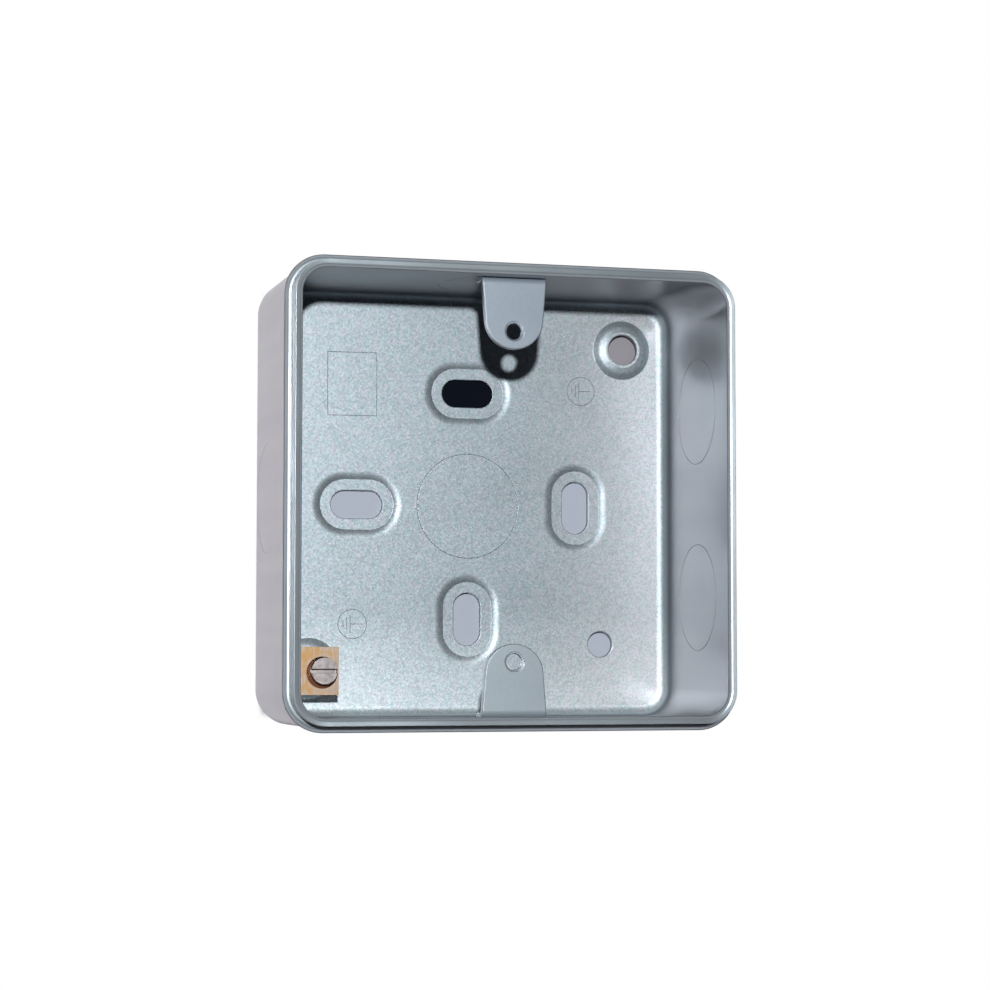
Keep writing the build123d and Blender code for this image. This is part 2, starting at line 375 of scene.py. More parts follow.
def turned(name, section, material, place=Matrix.Identity(4), steps=64):
    """Solid of revolution about Z from a section that starts and ends on the axis."""
    bm = bmesh.new()
    turns = [2 * pi * k / steps for k in range(steps)]
    rings = []
    for r, z in section[1:-1]:
        rings.append([bm.verts.new(place @ Vector((r * cos(a), r * sin(a), z))) for a in turns])
    bridge(bm, rings)
    for ring in (rings[0], rings[-1]):
        bm.faces.new(ring)
    return smooth_object(name, bm, material)


# Materials


class Nodes:
    """Short hand for building a node tree."""

    # Sockets of a Mix node that mixes colours
    MIX_FACTOR, MIX_FIRST, MIX_SECOND, MIX_RESULT = 0, 6, 7, 2

    def __init__(self, tree):
        self.tree = tree
        self.tree.nodes.clear()

    def feed(self, socket, value):
        """Links the value if it is a socket itself, and otherwise sets it."""
        if isinstance(value, bpy.types.NodeSocket):
            self.tree.links.new(value, socket)
        else:
            socket.default_value = value

    def add(self, kind, inputs=None, **settings):
        """Adds a node, sets its properties and feeds its inputs."""
        node = self.tree.nodes.new(kind)
        for key, value in settings.items():
            setattr(node, key, value)
        for key, value in (inputs or {}).items():
            self.feed(node.inputs[key], value)
        return node

    def blend(self, factor, first, second, mode="MIX"):
        """Mix of two colours."""
        node = self.add("ShaderNodeMix", {
            self.MIX_FACTOR: factor, self.MIX_FIRST: first, self.MIX_SECOND: second},
            data_type="RGBA", blend_type=mode)
        return node.outputs[self.MIX_RESULT]

    def filtered(self, share, tint, colour_filter):
        """Tint multiplied by the filter, as far as the share says."""
        return self.blend(share, tint, self.blend(1.0, tint, colour_filter, "MULTIPLY"))

    def grey(self, value):
        """Grey of that value."""
        return self.add("ShaderNodeCombineColor", {"Red": value, "Green": value, "Blue": value}).outputs[0]

    def ramp(self, value, low, high, to_low=0.0, to_high=1.0):
        """Value taken from one range to another, clamped."""
        node = self.add("ShaderNodeMapRange", {"Value": value, "From Min": low, "From Max": high,
                                               "To Min": to_low, "To Max": to_high})
        return node.outputs["Result"]

    def maths(self, operation, *values):
        """Maths node."""
        return self.add("ShaderNodeMath", dict(enumerate(values)), operation=operation).outputs[0]

    def product(self, first, *others):
        """Product of all the values."""
        for value in others:
            first = self.maths("MULTIPLY", first, value)
        return first

    def vectors(self, operation, *values):
        """Vector maths node."""
        return self.add("ShaderNodeVectorMath", dict(enumerate(values)), operation=operation).outputs[0]

    def split(self, vector):
        """Parts X, Y and Z of a vector."""
        return self.add("ShaderNodeSeparateXYZ", {"Vector": vector}).outputs

    def noise(self, vector, scale, detail):
        """Noise from 0 to 1."""
        node = self.add("ShaderNodeTexNoise", {"Vector": vector, "Scale": scale, "Detail": detail})
        return node.outputs["Fac"]

    def drawn_noise(self, vector, scales, detail):
        """Noise with a scale of its own along each axis."""
        stretched = self.add("ShaderNodeMapping", {"Vector": vector, "Scale": scales}).outputs[0]
        return self.noise(stretched, 1.0, detail)

    def bump(self, height, strength, distance, **more):
        """Normal tilted by a height."""
        inputs = {"Height": height, "Strength": strength, "Distance": distance, **more}
        return self.add("ShaderNodeBump", inputs).outputs[0]

    def metal(self, tint, metallic, roughness, **more):
        """Shader of a metal or a metallic paint, as the surface of the material."""
        shader = self.add("ShaderNodeBsdfPrincipled", {
            "Base Color": tint, "Metallic": metallic, "Roughness": roughness, **more})
        self.add("ShaderNodeOutputMaterial", {"Surface": shader.outputs[0]})


def rgba(linear):
    """Colour property with full alpha."""
    return (linear[0], linear[1], linear[2], 1.0)


def new_material(name):
    """Empty node material and its node builder."""
    material = bpy.data.materials.new(name)
    material.use_nodes = True
    return material, Nodes(material.node_tree)


def enamel_masks(n, place, shell):
    """Where on the box the enamel lies: sockets from 0 to 1, by the name of the place."""
    spot = n.split(place["Object"])
    level = n.maths("ABSOLUTE", n.split(place["Normal"])["Z"])
    nearly_level = n.ramp(level, 0.5, 0.9)
    quite_level = n.ramp(level, 0.97, 0.996)
    low = n.ramp(spot["Z"], *BACK_ENDS, 1.0, 0.0)
    back = n.product(low, nearly_level)
    # Painted light on the back towards the right
    right = n.product(n.ramp(spot["X"], *PAINTED_LIGHT_RIGHT_BAND), back, quite_level)
    # The bottom's painted light is weaker where the right's painted light already lies
    unless_right = n.ramp(right, 0.0, 1.0, 1.0, 0.45)
    bottom = n.product(n.ramp(spot["Y"], *PAINTED_LIGHT_BOTTOM_BAND), low, unless_right)
    # Painted shade on the lugs, fullest on the top lug
    lug = n.product(n.ramp(spot["Z"], *LUG_BEGINS), n.ramp(spot["Z"], *LUG_ENDS, 1.0, 0.0),
                    n.ramp(spot["Y"], *PAINTED_SHADE_LUG_BAND, 0.1, 1.0))
    # Distance out from the centres of the corners, which is the same all round a face of the walls
    straight = shell.wall_side / 2 - shell.corner_radius
    beyond = n.vectors("SUBTRACT", n.vectors("ABSOLUTE", place["Object"]), (straight, straight, 1.0))
    beyond = n.vectors("MAXIMUM", beyond, (0.0, 0.0, 0.0))
    distance = n.add("ShaderNodeVectorMath", {"Vector": beyond}, operation="LENGTH").outputs["Value"]
    return {
        "back": back, "right": right, "bottom": bottom, "lug": lug,
        "wall": n.ramp(level, 0.25, 0.6, 1.0, 0.0),
        "rim": n.product(n.ramp(spot["Z"], *RIM_BEGINS), nearly_level),
        "outside": n.ramp(distance, *OUTER_FACE),
    }


def enamel_tint(n, place, masks, flakes, patches, colours):
    """Colour of the enamel: grain on the back, painted light towards the right and the bottom of the back,
    painted shade on the lugs, painted shade inside the walls and painted light outside them, and drawing
    marks on the walls.
    """
    wall_grain = 0.05
    back_grain = 0.33
    flake_hue = 0.5
    wall_cover = 0.95
    mark_strength = 0.22
    drawn = n.add("ShaderNodeSeparateColor", {"Color": flakes}).outputs
    grain = n.ramp(masks["back"], 0.0, 1.0, wall_grain, back_grain)
    grain = n.maths("MULTIPLY_ADD", n.maths("SUBTRACT", drawn["Blue"], 0.5), grain, 0.5)
    tint = n.blend(grain, rgba(colours.enamel_deep), rgba(colours.enamel_pale))
    drift = n.ramp(n.noise(place["Object"], 620.0, 2.0), 0.36, 0.64)
    hue = n.maths("MULTIPLY_ADD", n.maths("SUBTRACT", drawn["Green"], 0.5), flake_hue, drift)
    tint = n.filtered(masks["back"], tint, n.blend(hue, WARM_FLAKE, COOL_FLAKE))
    # Painted light towards the right and the bottom of the back, and painted shade on the lugs
    tint = n.filtered(masks["right"], tint, PAINTED_LIGHT_RIGHT)
    tint = n.filtered(masks["bottom"], tint, PAINTED_LIGHT_BOTTOM)
    tint = n.filtered(masks["lug"], tint, PAINTED_SHADE_LUG)
    # Painted shade inside the walls, painted light outside them
    wall_painted_light_and_shade = n.blend(masks["outside"], rgba(colours.enamel_wall_painted_shade), rgba(colours.enamel_outside_painted_light))
    tint = n.blend(n.product(masks["wall"], wall_cover), tint, wall_painted_light_and_shade)
    tint = n.blend(1.0, tint, n.grey(n.ramp(patches, 0.3, 0.7, 0.93, 1.0)), "MULTIPLY")
    marks = n.drawn_noise(place["Object"], (260.0, 260.0, 9.0), 4.0)
    mark_depth = n.product(n.ramp(marks, 0.35, 0.65, 0.0, mark_strength), masks["wall"])
    return n.blend(mark_depth, tint, DRAWING_MARK)


def enamel_normal(n, place, masks, flakes):
    """Normal of the enamel: tilted flakes, a fine peel, and slow waves in the walls."""
    wall_tilt = 0.01
    back_tilt = 0.045
    peel_depth = 0.03 * MM
    wave_depth = 0.15 * MM
    tilt = {"Vector": n.vectors("SUBTRACT", flakes, (0.5, 0.5, 0.5)),
            "Scale": n.ramp(masks["back"], 0.0, 1.0, wall_tilt, back_tilt)}
    tilt = n.add("ShaderNodeVectorMath", tilt, operation="SCALE").outputs[0]
    facet = n.vectors("NORMALIZE", n.vectors("ADD", n.add("ShaderNodeNewGeometry").outputs["Normal"], tilt))
    peel = n.bump(n.noise(place["Object"], 1600.0, 2.0), 0.25, peel_depth, Normal=facet)
    waves = n.product(n.drawn_noise(place["Object"], (90.0, 90.0, 45.0), 2.0), masks["wall"])
    return n.bump(waves, 1.0, wave_depth, Normal=peel)


def enamel_material(settings):
    """Silver-grey metallic enamel with a fine grain, faint drawing marks down the walls, and painted light
    and shade in its colour.
    """
    existing = bpy.data.materials.get("silver_grey_enamel")
    if existing:
        return existing
    flake = 0.30 * MM
    roughness = 0.50
    wall_gloss = -0.17
    rim_gloss = -0.15
    material, n = new_material("silver_grey_enamel")
    place = n.add("ShaderNodeTexCoord").outputs
    flakes = n.add("ShaderNodeTexVoronoi", {"Vector": place["Object"], "Scale": 1 / flake},
                   feature="F1").outputs["Color"]
    patches = n.noise(place["Object"], 55.0, 3.0)
    masks = enamel_masks(n, place, settings.shell)
    tint = enamel_tint(n, place, masks, flakes, patches, settings.colours)
    rough = n.maths("ADD", n.ramp(patches, 0.3, 0.7, -0.03, 0.03), roughness)
    rough = n.maths("MULTIPLY_ADD", masks["wall"], wall_gloss, rough)
    rough = n.maths("MULTIPLY_ADD", masks["rim"], rim_gloss, rough)
    metallic = n.ramp(masks["wall"], 0.0, 1.0, 0.66, 0.94)
    n.metal(tint, metallic, rough, Normal=enamel_normal(n, place, masks, flakes))
    return material


def steel_material(settings):
    """Bright sheared steel."""
    material, n = new_material("bare_steel")
    n.metal(rgba(settings.colours.bare_steel), 0.1, 0.35)
    return material


def stamped_material(settings):
    """Enamel in the shade of the stamped lines."""
    material, n = new_material("stamped_enamel")
    n.metal(rgba(settings.colours.stamped), 0.6, 0.5)
    return material


def brass_material(settings):
    """Machined brass: fine tool marks, more golden patches towards the left, and painted shade down the sides
    and in the bores.
    """
    clean_width = 7 * MM
    painted_shade_full = BLOCK_HIGH[2] - 1.6 * MM
    painted_shade_ends = BLOCK_HIGH[2] - 0.4 * MM
    material, n = new_material("machined_brass")
    place = n.add("ShaderNodeTexCoord").outputs["Object"]
    spot = n.split(place)
    stain = n.noise(place, 640.0, 4.0)
    # More golden towards the left of the block
    leftness = n.ramp(spot["X"], BLOCK_LOW[0], BLOCK_LOW[0] + clean_width, 0.75, -0.25)
    golden = n.maths("ADD", n.ramp(stain, 0.38, 0.62, -0.6, 0.9), leftness)
    tint = n.blend(n.ramp(golden, 0.0, 1.0), rgba(settings.colours.brass), rgba(settings.colours.brass_gold))
    # Painted shade below the top of the block, down its sides and in its bores
    low = n.ramp(spot["Z"], painted_shade_full, painted_shade_ends, 1.0, 0.0)
    tint = n.blend(low, tint, rgba(settings.colours.brass_painted_shade))
    tool_marks = n.drawn_noise(place, (4200.0, 300.0, 2500.0), 3.0)
    n.metal(tint, 0.9, n.ramp(stain, 0.3, 0.7, 0.40, 0.52), Normal=n.bump(tool_marks, 0.7, 0.02 * MM))
    return material


def nickel_material(settings):
    """Nickel plating with a fine, slightly dull grain."""
    material, n = new_material("nickel_plating")
    fine = n.noise(n.add("ShaderNodeTexCoord").outputs["Object"], 900.0, 4.0)
    tint = n.blend(1.0, rgba(settings.colours.nickel), n.grey(n.ramp(fine, 0.3, 0.7, 0.82, 1.0)), "MULTIPLY")
    n.metal(tint, 0.9, n.ramp(fine, 0.3, 0.7, 0.30, 0.42), Normal=n.bump(fine, 0.3, 0.02 * MM))
    return material


# Geometry node trees


def rule_tree(name, inputs):
    """Geometry node tree with a geometry input, named inputs and a geometry output."""
    tree = bpy.data.node_groups.new(name, "GeometryNodeTree")
    tree.interface.new_socket("Geometry", in_out="INPUT", socket_type="NodeSocketGeometry")
    for label, kind in inputs.items():
        tree.interface.new_socket(label, in_out="INPUT", socket_type=kind)
    tree.interface.new_socket("Geometry", in_out="OUTPUT", socket_type="NodeSocketGeometry")
    n = Nodes(tree)
    return tree, n, n.add("NodeGroupInput").outputs


def end_tree(n, geometry, material):
    """Realizes the instances, sets the material and ends the tree."""
    real = n.add("GeometryNodeRealizeInstances", {"Geometry": geometry}).outputs[0]
    dressed = n.add("GeometryNodeSetMaterial", {"Geometry": real, "Material": material}).outputs[0]
    n.add("NodeGroupOutput", {"Geometry": dressed})


def round_ridge(n, path, radius, resolution):
    """Smooth round ridge along a curve."""
    ring = n.add("GeometryNodeCurvePrimitiveCircle", {"Resolution": resolution, "Radius": radius},
                 mode="RADIUS").outputs[0]
    ridge = n.add("GeometryNodeCurveToMesh", {
        "Curve": path, "Profile Curve": ring, "Fill Caps": True}).outputs[0]
    return n.add("GeometryNodeSetShadeSmooth", {"Geometry": ridge}).outputs[0]


def grow(obj, tree, values):
    """Runs the tree on the object with these inputs and keeps the result as a plain mesh."""
    mod = obj.modifiers.new("Rule", "NODES")
    mod.node_group = tree
    sockets = {item.name: item.identifier for item in tree.interface.items_tree if item.in_out == "INPUT"}
    for label, value in values.items():
        mod[sockets[label]] = value
    return plain_mesh(obj)


def seed_object(name, points, edges=(), turns=None):
    """Mesh of bare points or edges that a tree works on, with a turn stored at each point if given."""
    mesh = bpy.data.meshes.new(name)
    mesh.from_pydata([tuple(p) for p in points], list(edges), [])
    if turns:
        attribute = mesh.attributes.new("turn", "FLOAT_VECTOR", "POINT")
        for item, turn in zip(attribute.data, turns):
            item.vector = turn
    obj = bpy.data.objects.new(name, mesh)
    bpy.context.scene.collection.objects.link(obj)
    return obj


def disc_tree(material):
    """Puts a copy of the disc at every point, turned as the point says and pushed along its own axis."""
    tree, n, given = rule_tree("knockout_discs", {"Disc": "NodeSocketObject", "Push": "NodeSocketFloat"})
    disc = n.add("GeometryNodeObjectInfo", {"Object": given["Disc"]}).outputs["Geometry"]
    push = n.add("ShaderNodeCombineXYZ", {"Z": given["Push"]}).outputs[0]
    pushed = n.add("GeometryNodeTransform", {"Geometry": disc, "Translation": push}).outputs[0]
    turn = n.add("GeometryNodeInputNamedAttribute", {"Name": "turn"}, data_type="FLOAT_VECTOR").outputs[0]
    rotation = n.add("FunctionNodeEulerToRotation", {"Euler": turn}).outputs[0]
    copies = n.add("GeometryNodeInstanceOnPoints", {
        "Points": given["Geometry"], "Instance": pushed, "Rotation": rotation}).outputs[0]
    end_tree(n, copies, material)
    return tree


def thread_tree(material):
    """Winds a thread's ridge round the Z axis at every point."""
    tree, n, given = rule_tree("thread_ridge", {
        label: "NodeSocketFloat" for label in ("Radius", "Ridge", "Turns", "Height")})
    helix = n.add("GeometryNodeCurveSpiral", {
        "Resolution": 40, "Rotations": given["Turns"], "Start Radius": given["Radius"],
        "End Radius": given["Radius"], "Height": given["Height"]}).outputs[0]
    wound = round_ridge(n, helix, given["Ridge"], 6)
    copies = n.add("GeometryNodeInstanceOnPoints", {
        "Points": given["Geometry"], "Instance": wound}).outputs[0]
    end_tree(n, copies, material)
    return tree


def stamp_tree(material):
    """Raises a low round ridge along every edge of a drawing."""
    tree, n, given = rule_tree("stamped_ridge", {"Width": "NodeSocketFloat"})
    line = n.add("GeometryNodeMeshToCurve", {"Mesh": given["Geometry"]}).outputs[0]
    end_tree(n, round_ridge(n, line, n.maths("MULTIPLY", given["Width"], 0.5), 10), material)
    return tree


# Places that several pieces share


def floor_height(settings):
    """Height of the back's inner face."""
    return settings.back.pad_drop + settings.shell.sheet


def knockout_places(settings):
    """Places of the knockouts: on the outer face, with Z into the box and X towards the dimple's far side."""
    half = settings.shell.wall_side / 2
    height = settings.back.knockout_height
    reach = settings.back.knockout_pair_reach
    return (
        Matrix.Translation((0, 0, settings.back.pad_drop)),
        wall_place((half, reach, height), (-1, 0, 0)),
        wall_place((half, -reach, height), (-1, 0, 0)),
        wall_place((-half, 0, settings.back.low_knockout_height), (1, 0, 0)),
        wall_place((0, half, height), (0, -1, 0)),
        wall_place((0, -half, height), (0, 1, 0)),
    )


def wall_place(origin, inwards):
    """Place on a wall, with Z into the box and X up."""
    z = Vector(inwards)
    x = Vector((0, 0, 1))
    return Matrix.Translation(origin) @ Matrix((x, z.cross(x), z)).transposed().to_4x4()


def ring_section(radius, outer, inner, edge=SHEARED_EDGE, band=SHEARED_BAND):
    """Section through a plain hole in a sheet between two heights, with its edges broken."""
    return rounded_chain([(radius + band, inner), (radius, inner), (radius, outer), (radius + band, outer)],
                         (edge, edge), 3)


def finish_piece(obj, slot, *nodes):
    """Makes the piece ride on the root body and hides the CAD nodes that it stands for."""
    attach(obj, "root")
    if nodes:
        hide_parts(*nodes)


def settings_of(context):
    """The add-on's settings."""
    return context.scene.back_box


# Operators


class BACKBOX_OT_stage(Operator):
    """Make the camera, the floor, the lamp above the lens and the white surroundings"""
    bl_idname = "backbox.stage"
    bl_label = "Stage and Camera"

    def execute(self, context):
        settings = settings_of(context)
        context.scene.view_settings.view_transform = "Standard"
        self.make_camera(context.scene, settings.stage)
        self.make_lamp(context.scene, settings.stage)
        self.make_world(context.scene, settings.stage)
        self.make_floor(context.scene, settings)
        return {"FINISHED"}

    def make_camera(self, scene, stage):
        """Camera in front of the box, to its left and a little below."""
        camera = bpy.data.cameras.new("camera")
        camera.lens = stage.focal_length
        camera.clip_start = 0.01
        obj = bpy.data.objects.new("camera", camera)
        obj.location = Vector(LENS_PLACE) * MM
        obj.rotation_mode = "ZYX"
        obj.rotation_euler = LENS_TURN
        scene.collection.objects.link(obj)
        scene.camera = obj

    def make_lamp(self, scene, stage):
        """Small lamp above the lens."""
        lamp = bpy.data.lights.new("key", "AREA")
        lamp.shape = "DISK"
        lamp.size = stage.key_size
        lamp.energy = stage.key_power
        obj = bpy.data.objects.new("key", lamp)
        obj.location = Vector(LAMP_PLACE) * MM
        obj.rotation_euler = (-obj.location).to_track_quat("-Z", "Y").to_euler()
        scene.collection.objects.link(obj)

    def make_world(self, scene, stage):
        """World that glows round the horizon and shows white to the camera."""
        world = bpy.data.worlds.new("studio")
        world.use_nodes = True
        scene.world = world
        n = Nodes(world.node_tree)
        glow_ends = 0.42
        warm_white = (1.0, 0.91, 0.95, 1.0)
        way = n.split(n.add("ShaderNodeTexCoord").outputs["Generated"])
        glow = n.ramp(way["Z"], 0.0, glow_ends, stage.horizon_glow, stage.zenith_glow)
        more_below = n.ramp(way["Y"], -0.7, 0.7, 1.16, 0.84)
        light = n.add("ShaderNodeBackground", {
            "Color": warm_white, "Strength": n.product(glow, more_below)}).outputs[0]
        white = n.add("ShaderNodeBackground", {"Color": rgba(stage.white), "Strength": 1.0}).outputs[0]
        seen = n.add("ShaderNodeLightPath").outputs["Is Camera Ray"]
        mixed = n.add("ShaderNodeMixShader", {0: seen, 1: light, 2: white}).outputs[0]
        n.add("ShaderNodeOutputWorld", {"Surface": mixed})

    def make_floor(self, scene, settings):
        """Floor that is white to the camera round the box, and lit where the box covers it, with painted
        shade there.
        """
        bm = bmesh.new()
        bmesh.ops.create_grid(bm, x_segments=2, y_segments=2, size=FLOOR_SIDE / 2,
                              matrix=Matrix.Translation((0, 0, -FLOOR_DROP)))
        mesh = bpy.data.meshes.new("floor")
        bm.to_mesh(mesh)
        bm.free()
        mesh.materials.append(self.floor_material(settings))
        floor = bpy.data.objects.new("floor", mesh)
        scene.collection.objects.link(floor)

    def floor_material(self, settings):
        """Pale outside, with painted shade under the box, and darker still behind the top slot and the raised
        boss.
        """
        stage = settings.stage
        boss_reach = settings.shell.wall_side / 2 - settings.back.boss_inset
        # Middle, half width, half height and shade of what shows through a hole
        gaps = (
            ((0, settings.back.slot_reach, 0), 6.0 * MM, 3.6 * MM, stage.dark_gap),
            ((boss_reach, boss_reach, 0), 4.5 * MM, 4.5 * MM, stage.brown_gap),
        )
        material, n = new_material("pale_floor")
        white = n.add("ShaderNodeEmission", {"Color": rgba(stage.white), "Strength": 1.0}).outputs[0]
        place = n.add("ShaderNodeTexCoord").outputs["Object"]
        sides = n.split(n.vectors("ABSOLUTE", place))
        far = n.maths("MAXIMUM", sides["X"], sides["Y"])
        # Painted shade under the box, paling out to the floor's own colour
        tint = n.blend(n.ramp(far, *FLOOR_PALE), rgba(stage.covered_floor_painted_shade), rgba(stage.floor_colour))
        for middle, half_width, half_height, shade in gaps:
            off = n.split(n.vectors("ABSOLUTE", n.vectors("SUBTRACT", place, middle)))
            inside = n.product(n.maths("LESS_THAN", off["X"], half_width),
                               n.maths("LESS_THAN", off["Y"], half_height))
            tint = n.blend(inside, tint, rgba(shade))
        lit = n.add("ShaderNodeBsdfDiffuse", {"Color": tint}).outputs[0]
        seen = n.product(n.add("ShaderNodeLightPath").outputs["Is Camera Ray"], n.ramp(far, *FLOOR_WHITE))
        mixed = n.add("ShaderNodeMixShader", {0: seen, 1: lit, 2: white}).outputs[0]
        n.add("ShaderNodeOutputMaterial", {"Surface": mixed})
        return material


class BACKBOX_OT_shell(Operator):
    """Make the drawn shell with its stepped rim, pressed pads, bosses and holes"""
    bl_idname = "backbox.shell"
    bl_label = "Pressed Shell"

    def execute(self, context):
        settings = settings_of(context)
        bm = bmesh.new()
        section = self.wall_section(settings)
        columns = self.wall_columns(settings.shell)
        grid = []
        for p in section:
            grid.append([bm.verts.new((x + nx * p.x, y + ny * p.x, p.y)) for x, y, nx, ny in columns])
        panels = self.wall_panels(section, columns)
        self.bridge_walls(bm, grid, panels)
        back_rings = self.pierce_back(bm, settings)
        wall_rings = self.pierce_walls(bm, settings)
        fill_flat(bm, [grid[0]] + [low for high, low in back_rings], Vector((0, 0, -1)))
        fill_flat(bm, [grid[-1]] + [high for high, low in back_rings], Vector((0, 0, 1)))
        for row, column, after in panels:
            border = [grid[row][column], grid[row][after], grid[row + 1][after], grid[row + 1][column]]
            facing = Vector((columns[column][2], columns[column][3], 0))
            outside = row < len(section) / 2
            holes = [out if outside else inn for way, out, inn in wall_rings if way.dot(facing) > 0.9]
            fill_flat(bm, [border] + holes, facing if outside else -facing)
        shell = smooth_object("pressed_shell", bm, enamel_material(settings))
        finish_piece(shell, "painted_steel", "box_shell")
        return {"FINISHED"}

    def wall_section(self, settings):
        """Section of back edge, wall and rim: distance out from the wall's face, and height."""
        shell = settings.shell
        back_z = settings.back.pad_drop
        floor_z = floor_height(settings)
        shoulder = shell.depth - shell.lip_height
        joggle = shoulder - shell.bead_height
        lip_in = -shell.lip_inset - shell.lip_thickness
        # The bead's front falls towards the lip, from a corner that its round cuts back to the shoulder
        crown = shoulder + 0.32 * MM
        bead_fall = tan(radians(28))
        lip_fall = tan(radians(10))
        joggle_round = 0.45 * MM
        crest_round = 1.05 * MM
        groove_round = 0.10 * MM
        lip_edge = 0.08 * MM
        lip_round = 0.85 * MM
        inner_crest_round = 0.3 * MM
        inner_joggle_round = 0.4 * MM
        edge = -shell.back_bend - 2 * SHADING_STRIP
        return rounded_corners([
            ((edge, back_z), 0),
            ((0, back_z), shell.back_bend),
            ((0, joggle), joggle_round),
            ((shell.bead_proud, joggle + shell.bead_proud), joggle_round),
            ((shell.bead_proud, crown), crest_round),
            ((-shell.lip_inset, crown - (shell.bead_proud + shell.lip_inset) * bead_fall), groove_round),
            ((-shell.lip_inset, shell.depth), lip_edge),
            ((lip_in, shell.depth - shell.lip_thickness * lip_fall), lip_round),
            ((lip_in, joggle + shell.sheet), inner_crest_round),
            ((-shell.sheet, joggle), inner_joggle_round),
            ((-shell.sheet, floor_z), shell.inner_bend),
            ((edge, floor_z), 0),
        ], 7)

    def wall_columns(self, shell):
        """Places round the wall's face, each with its outward way; flats run between the corners."""
        steps = 18
        middle = shell.wall_side / 2 - shell.corner_radius
        columns = []
        for corner in range(4):
            turn = Matrix.Rotation(corner * pi / 2, 2)
            spots = [((shell.corner_radius, -SHADING_STRIP), 0.0)]
            for k in range(steps + 1):
                a = pi / 2 * k / steps
                spots.append(((shell.corner_radius * cos(a), shell.corner_radius * sin(a)), a))
            spots.append(((-SHADING_STRIP, shell.corner_radius), pi / 2))
            for spot, a in spots:
                p = turn @ Vector((middle + spot[0], middle + spot[1]))
                way = turn @ Vector((cos(a), sin(a)))
                columns.append((p.x, p.y, way.x, way.y))
        return columns

    def wall_panels(self, section, columns):
        """Row and columns of the large flats, outside and inside, on the four walls."""
        longest = sorted(range(len(section) - 1), key=lambda k: -(section[k + 1] - section[k]).length)[:2]
        count = len(columns)
        ends = [count // 4 * (k + 1) for k in range(4)]
        return [(row, end - 1, end % count) for row in longest for end in ends]

    def bridge_walls(self, bm, grid, panels):
        """Quads of the walls, apart from the large flats."""
        left_out = {panel[:2] for panel in panels}
        count = len(grid[0])
        for row in range(len(grid) - 1):
            for k in range(count):
                if (row, k) in left_out:
                    continue
                n = (k + 1) % count
                bm.faces.new((grid[row][k], grid[row][n], grid[row + 1][n], grid[row + 1][k]))

    def pierce_back(self, bm, settings):
        """Slots in their pads, bosses, plain hole and knockout opening, as pairs of rings."""
        back = settings.back
        top = floor_height(settings)
        low = back.pad_drop
        half = settings.shell.wall_side / 2
        rings = []
        straight = back.slot_length - back.slot_width
        pad = self.pad_section(settings)
        for x, y, turn in ((1, 0, 90), (-1, 0, 0), (0, 1, 0), (0, -1, 90)):
            reach = Matrix.Translation((x * back.slot_reach, y * back.slot_reach, 0))
            rings.append(pierce(bm, reach @ Matrix.Rotation(radians(turn), 4, "Z"), pad, straight))
        boss = self.boss_section(settings)
        boss_reach = half - back.boss_inset
        for side in (1, -1):
            place = Matrix.Translation((side * boss_reach, side * boss_reach, 0))
            rings.append(pierce(bm, place, boss, 0.0, 32))
        spare = Matrix.Translation((half - back.spare_inset_x, -half + back.spare_inset_y, 0))
        spare_section = ring_section(back.spare_hole / 2, low, top, 0.18 * MM, 0.3 * MM)
        rings.append(pierce(bm, spare, spare_section, 0.0, 24))
        rings.append(pierce(bm, Matrix.Identity(4), ring_section(back.knockout / 2, low, top), 0.0, 48))
        return rings

    def pad_section(self, settings):
        """Section of a pad pressed outwards: distance from the slot's middle line, and height."""
        back = settings.back
        top = floor_height(settings)
        slot_r = back.slot_width / 2
        pad_r = slot_r + back.pad_margin
        slope_r = pad_r + back.pad_slope
        shading_band = 1.0 * MM
        brow = 2.9 * MM
        foot = 0.2 * MM
        return rounded_corners([
            ((slope_r + shading_band, top), 0),
            ((slope_r, top), brow),
            ((pad_r, top - back.pad_drop), foot),
            ((slot_r, settings.shell.sheet), 0.16 * MM),
            ((slot_r, 0), 0.12 * MM),
            ((pad_r, 0), foot),
            ((slope_r, back.pad_drop), 1.6 * MM),
            ((slope_r + shading_band, back.pad_drop), 0),
        ], 6)

    def boss_section(self, settings):
        """Section of a domed boss: distance from its axis, and height."""
        back = settings.back
        top = floor_height(settings)
        low = back.pad_drop
        rise = back.boss_rise
        base_r = back.boss_base / 2
        hole_r = back.boss_hole / 2
        shading_band = 0.25 * MM
        haunch_r = base_r - 1.1 * MM
        haunch = top + 0.7 * rise
        flat_r = hole_r + 0.5 * MM
        under_round = 0.35 * MM
        return rounded_corners([
            ((base_r + shading_band, top), 0),
            ((base_r, top), 0.25 * MM),
            ((haunch_r, haunch), 2.4 * MM),
            ((flat_r, top + rise), 1.2 * MM),
            ((hole_r, top + rise), 0.14 * MM),
            ((hole_r, low + rise), 0.12 * MM),
            ((back.boss_top / 2, low + rise), under_round),
            ((base_r, low), under_round),
            ((base_r + shading_band, low), 0),
        ], 6)

    def pierce_walls(self, bm, settings):
        """Knockout openings of the walls: the way that each faces, its outer ring and its inner ring."""
        section = ring_section(settings.back.knockout / 2, 0.0, settings.shell.sheet)
        rings = []
        for place in knockout_places(settings)[1:]:
            inner, outer = pierce(bm, place, section, 0.0, 48)
            rings.append((-place.to_3x3().col[2], outer, inner))
        return rings


